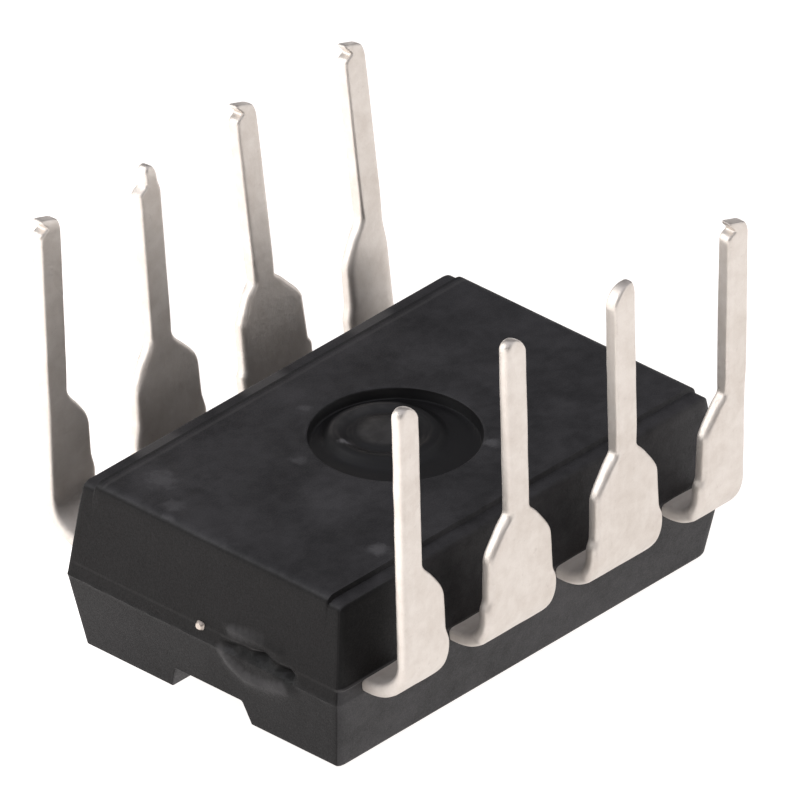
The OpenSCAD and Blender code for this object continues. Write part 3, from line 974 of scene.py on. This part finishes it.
viewing = {"azimuth": -47.0145, "elevation": 31.875, "roll": -0.3765, "distance": 504.96, "lens": 1400.0,
           "target": (0.0, 0.0, 1.6), "right": 0.067, "up": 1.891}


def makeCamera():
    v = viewing
    a, e, r = (math.radians(v[key]) for key in ("azimuth", "elevation", "roll"))
    back = Vector((math.sin(a) * math.cos(e), -math.cos(a) * math.cos(e), math.sin(e)))
    level = Vector((math.cos(a), math.sin(a), 0))
    rising = back.cross(level)
    right = level * math.cos(r) + rising * math.sin(r)
    up = rising * math.cos(r) - level * math.sin(r)
    place = Vector(v["target"]) + right * v["right"] + up * v["up"] + back * v["distance"]
    data = bpy.data.cameras.new("camera")
    data.lens = v["lens"]
    data.sensor_width = 36
    data.clip_start, data.clip_end = 0.01, 3.0
    camera = bpy.data.objects.new("camera", data)
    bpy.context.scene.collection.objects.link(camera)
    camera.matrix_world = Matrix.Translation(place * mm) @ Matrix((right, up, back)).transposed().to_4x4()
    bpy.context.scene.camera = camera


stageLook = {
    "floorPale": (0.3, 0.3, 0.3), "floorDeep": (0.27, 0.27, 0.27), "floorGlow": (1.0, 0.965, 0.945),
    "glow": 0.98, "glowLeft": 0.75, "worldTop": (0.62, 0.62, 0.67), "worldSide": (0.14, 0.135, 0.14),
    "worldLeft": 0.6, "worldRight": 0.9, "key": 0.07, "fill": 0.018,
    "floorReach": 1.5,                                               # half the floor's side, in metres
}


def makeStage():
    look = stageLook
    material, tree, shader = newMaterial("paleFloor", Roughness=0.8, Specular_IOR_Level=0.0)
    place = millimetrePosition(tree)
    soft = mixColour(tree, noiseNode(tree, place, 0.02, 2.0), look["floorDeep"], look["floorPale"])
    tree.links.new(soft, shader.inputs["Base Color"])
    shader.inputs["Emission Color"].default_value = (*look["floorGlow"], 1)
    towards = measured(tree, "DOT_PRODUCT", place, (-0.74, 0.67, 0))
    glow = mapRange(tree, towards, 2.5, 8.0, look["glow"], look["glow"] + look["glowLeft"])
    tree.links.new(glow, shader.inputs["Emission Strength"])
    size = look["floorReach"]
    corners = [(-size, -size, 0), (size, -size, 0), (size, size, 0), (-size, size, 0)]
    floor = bpy.data.objects.new("floor", meshFrom("floor", corners, [(0, 1, 2, 3)]))
    floor.location.z = -0.00002                                  # a hair under the chip
    floor.data.materials.append(material)
    bpy.context.scene.collection.objects.link(floor)


def addSoftLight(name, place, size, power):
    data = bpy.data.lights.new(name, "AREA")
    data.shape = "SQUARE"
    data.size = size
    data.energy = power
    lamp = bpy.data.objects.new(name, data)
    lamp.location = Vector(place)
    lamp.rotation_mode = "QUATERNION"
    lamp.rotation_quaternion = (Vector(place) - Vector((0, 0, 0.003))).to_track_quat("Z", "Y")
    bpy.context.scene.collection.objects.link(lamp)


def makeLights():
    world = bpy.data.worlds.new("softRoom")
    bpy.context.scene.world = world
    world.use_nodes = True
    tree = world.node_tree
    place = tree.nodes.new("ShaderNodeTexCoord")
    outward = place.outputs["Generated"]
    height = mapRange(tree, splitXYZ(tree, outward)["Z"], 0.5, 0.95)
    colour = mixColour(tree, height, stageLook["worldSide"], stageLook["worldTop"])
    sides = [("worldLeft", (-0.72, 0.66, 0.2), 0.35), ("worldRight", (0.75, -0.65, 0.12), 0.6)]
    for name, direction, low in sides:
        towards = measured(tree, "DOT_PRODUCT", outward, direction)
        glow = mapRange(tree, towards, low, 0.95, 0.0, stageLook[name])
        colour = mixColour(tree, 1.0, colour, mixColour(tree, glow, (0, 0, 0), (1, 1, 1)), "ADD")
    tree.links.new(colour, tree.nodes["Background"].inputs[0])
    # places and sizes of the two lights are in metres
    addSoftLight("keySoftbox", (-0.085, 0.078, 0.062), 0.1, stageLook["key"])
    addSoftLight("fillSoftbox", (-0.11, -0.10, 0.15), 0.07, stageLook["fill"])


makeCamera()
makeStage()
makeLights()
bpy.context.scene.view_settings.view_transform = "Standard"
print("camera, floor and lights made")
